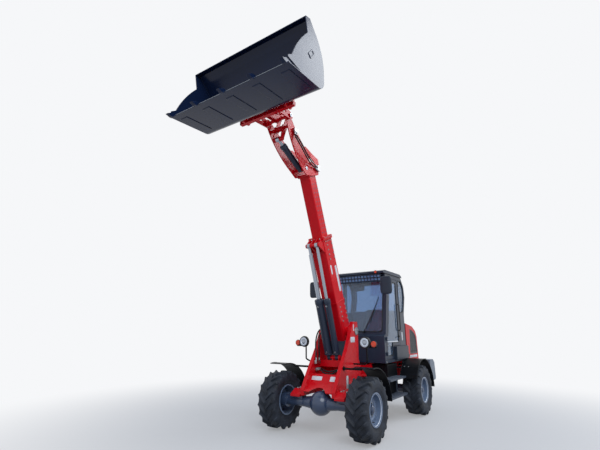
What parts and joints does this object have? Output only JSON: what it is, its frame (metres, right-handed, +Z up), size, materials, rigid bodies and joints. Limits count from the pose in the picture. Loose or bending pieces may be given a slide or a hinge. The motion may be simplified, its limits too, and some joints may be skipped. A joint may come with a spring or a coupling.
{
  "type": "articulated telescopic wheel loader",
  "caption": "Compact articulated wheel loader with a telescopic boom, toothed bucket, glazed cab and four lugged tyres, shown with the boom raised and extended.",
  "frame": {"origin": "on the ground, on the axis of the steering pivot, midway between the axles", "axes": "+X the machine's left side, -Y its front, +Z up"},
  "size_m": [2.092, 5.5655, 5.348],
  "materials": {
    "red_paint": "gloss paint",
    "anthracite_paint": "satin paint",
    "grey_paint": "satin paint",
    "steel": "machined",
    "axle_casting": "painted casting",
    "black_plastic": "moulded",
    "seat_fabric": "woven",
    "glass": "clear",
    "grille_mesh": "fine mesh",
    "lamp_glass": "clear lens over chrome",
    "orange_plastic": "clear orange",
    "chrome": "polished",
    "tyre": "rubber",
    "rim_silver": "silver paint"
  },
  "bodies": {
    "rear_frame": {"rear_chassis": "red_paint", "steering_pin": "steel", "rear_axle": "axle_casting", "engine_block": "axle_casting", "counterweight": "grey_paint", "tow_hitch": "steel", "rear_mudguards": "black_plastic", "side_tanks": "black_plastic", "side_steps": "grey_paint", "cab_frame": "anthracite_paint", "cab_side_box": "anthracite_paint", "cab_roof": "anthracite_paint", "windscreen": "glass", "rear_window": "glass", "side_windows": "glass", "seat_base": "black_plastic", "seat_cushion": "seat_fabric", "steering_column": "black_plastic", "mirrors": "black_plastic"},
    "door": {"door_frame": "anthracite_paint", "door_glass": "glass"},
    "hood": {"hood": "red_paint", "hood_grilles": "grille_mesh"},
    "front_frame": {"front_tower": "red_paint", "front_axle": "axle_casting", "front_mudguards": "black_plastic", "lamp_stalks": "black_plastic", "headlamps": "lamp_glass", "indicators": "orange_plastic"},
    "boom": {"outer_boom": "red_paint"},
    "telescope": {"inner_boom": "red_paint", "boom_head": "red_paint"},
    "tilt_rocker": {"tilt_rocker": "red_paint"},
    "tilt_link": {"tilt_link": "red_paint"},
    "tilt_barrel": {"tilt_barrel": "red_paint"},
    "tilt_rod": {"tilt_rod": "chrome"},
    "lift_barrel": {"lift_barrel": "anthracite_paint"},
    "lift_rod": {"lift_rod": "chrome"},
    "level_barrel": {"level_barrel": "anthracite_paint"},
    "level_rod": {"level_rod": "chrome"},
    "bucket": {"coupler": "red_paint", "bucket": "anthracite_paint", "bucket_teeth": "anthracite_paint"},
    "front_left_wheel": {"tyre_front_left": "tyre", "rim_front_left": "rim_silver"},
    "front_right_wheel": {"tyre_front_right": "tyre", "rim_front_right": "rim_silver"},
    "rear_left_wheel": {"tyre_rear_left": "tyre", "rim_rear_left": "rim_silver"},
    "rear_right_wheel": {"tyre_rear_right": "tyre", "rim_rear_right": "rim_silver"}
  },
  "joints": [
    {"name": "steering", "type": "hinge", "parent": "rear_frame", "child": "front_frame", "pos_m": [0, 0, 0.6], "axis": [0, 0, 1], "range_deg": [-40, 40]},
    {"name": "boom_lift", "type": "hinge", "parent": "front_frame", "child": "boom", "pos_m": [0, -0.45, 1.45], "axis": [1, 0, 0], "range_deg": [0, 84.5]},
    {"name": "boom_extension", "type": "slide", "parent": "boom", "child": "telescope", "axis": [0, 0.3665, -0.9304], "range_m": [0, 1]},
    {"name": "bucket_tilt", "type": "hinge", "parent": "telescope", "child": "bucket", "pos_m": [0, -2.253, 4.572], "axis": [-1, 0, 0], "range_deg": [-45, 120]},
    {"name": "lift_barrel_swing", "type": "hinge", "parent": "front_frame", "child": "lift_barrel", "pos_m": [-0.072, -0.695, 1.044], "axis": [1, 0, 0], "range_deg": [-0.5, 82.89]},
    {"name": "lift_rod_travel", "type": "slide", "parent": "lift_barrel", "child": "lift_rod", "axis": [0, -0.3214, 0.9469], "range_m": [-0.6421, 0.005]},
    {"name": "level_barrel_swing", "type": "hinge", "parent": "front_frame", "child": "level_barrel", "pos_m": [0.072, -0.695, 1.044], "axis": [1, 0, 0], "range_deg": [-0.5, 82.89]},
    {"name": "level_rod_travel", "type": "slide", "parent": "level_barrel", "child": "level_rod", "axis": [0, -0.3214, 0.9469], "range_m": [-0.6421, 0.005]},
    {"name": "tilt_rocker_swing", "type": "hinge", "parent": "telescope", "child": "tilt_rocker", "pos_m": [0, -2.186, 4.448], "axis": [-1, 0, 0], "range_deg": [-21, 55.16]},
    {"name": "tilt_link_swing", "type": "hinge", "parent": "bucket", "child": "tilt_link", "pos_m": [0, -2.338, 4.648], "axis": [-1, 0, 0], "range_deg": [-76.68, 29.07]},
    {"name": "tilt_barrel_swing", "type": "hinge", "parent": "telescope", "child": "tilt_barrel", "pos_m": [0, -1.642, 3.966], "axis": [-1, 0, 0], "range_deg": [-1.27, 2.56]},
    {"name": "tilt_rod_travel", "type": "slide", "parent": "tilt_barrel", "child": "tilt_rod", "axis": [0, -0.9054, 0.4246], "range_m": [-0.0767, 0.1962]},
    {"name": "cab_door", "type": "hinge", "parent": "rear_frame", "child": "door", "pos_m": [0.584, 0.148, 1.2], "axis": [0, 0, -1], "range_deg": [0, 90]},
    {"name": "hood_lid", "type": "hinge", "parent": "rear_frame", "child": "hood", "pos_m": [0, 1.15, 1.585], "axis": [1, 0, 0], "range_deg": [0, 50]},
    {"name": "front_left_spin", "type": "hinge", "parent": "front_frame", "child": "front_left_wheel", "pos_m": [0.7415, -1.1, 0.42], "axis": [1, 0, 0], "continuous": true},
    {"name": "front_right_spin", "type": "hinge", "parent": "front_frame", "child": "front_right_wheel", "pos_m": [-0.7415, -1.1, 0.42], "axis": [1, 0, 0], "continuous": true},
    {"name": "rear_left_spin", "type": "hinge", "parent": "rear_frame", "child": "rear_left_wheel", "pos_m": [0.7415, 1.1, 0.42], "axis": [1, 0, 0], "continuous": true},
    {"name": "rear_right_spin", "type": "hinge", "parent": "rear_frame", "child": "rear_right_wheel", "pos_m": [-0.7415, 1.1, 0.42], "axis": [1, 0, 0], "continuous": true}
  ],
  "couplings": [
    {"joint": "lift_barrel_swing", "follows": "boom_lift", "ratio": 0.975},
    {"joint": "lift_rod_travel", "follows": "boom_lift", "m_per_rad": -0.432},
    {"joint": "level_barrel_swing", "follows": "boom_lift", "ratio": 0.975},
    {"joint": "level_rod_travel", "follows": "boom_lift", "m_per_rad": -0.432},
    {"joint": "tilt_rocker_swing", "follows": "bucket_tilt", "ratio": 0.4555},
    {"joint": "tilt_link_swing", "follows": "bucket_tilt", "ratio": -0.6348},
    {"joint": "tilt_barrel_swing", "follows": "bucket_tilt", "ratio": 0.0172},
    {"joint": "tilt_rod_travel", "follows": "bucket_tilt", "m_per_rad": 0.0913}
  ]
}
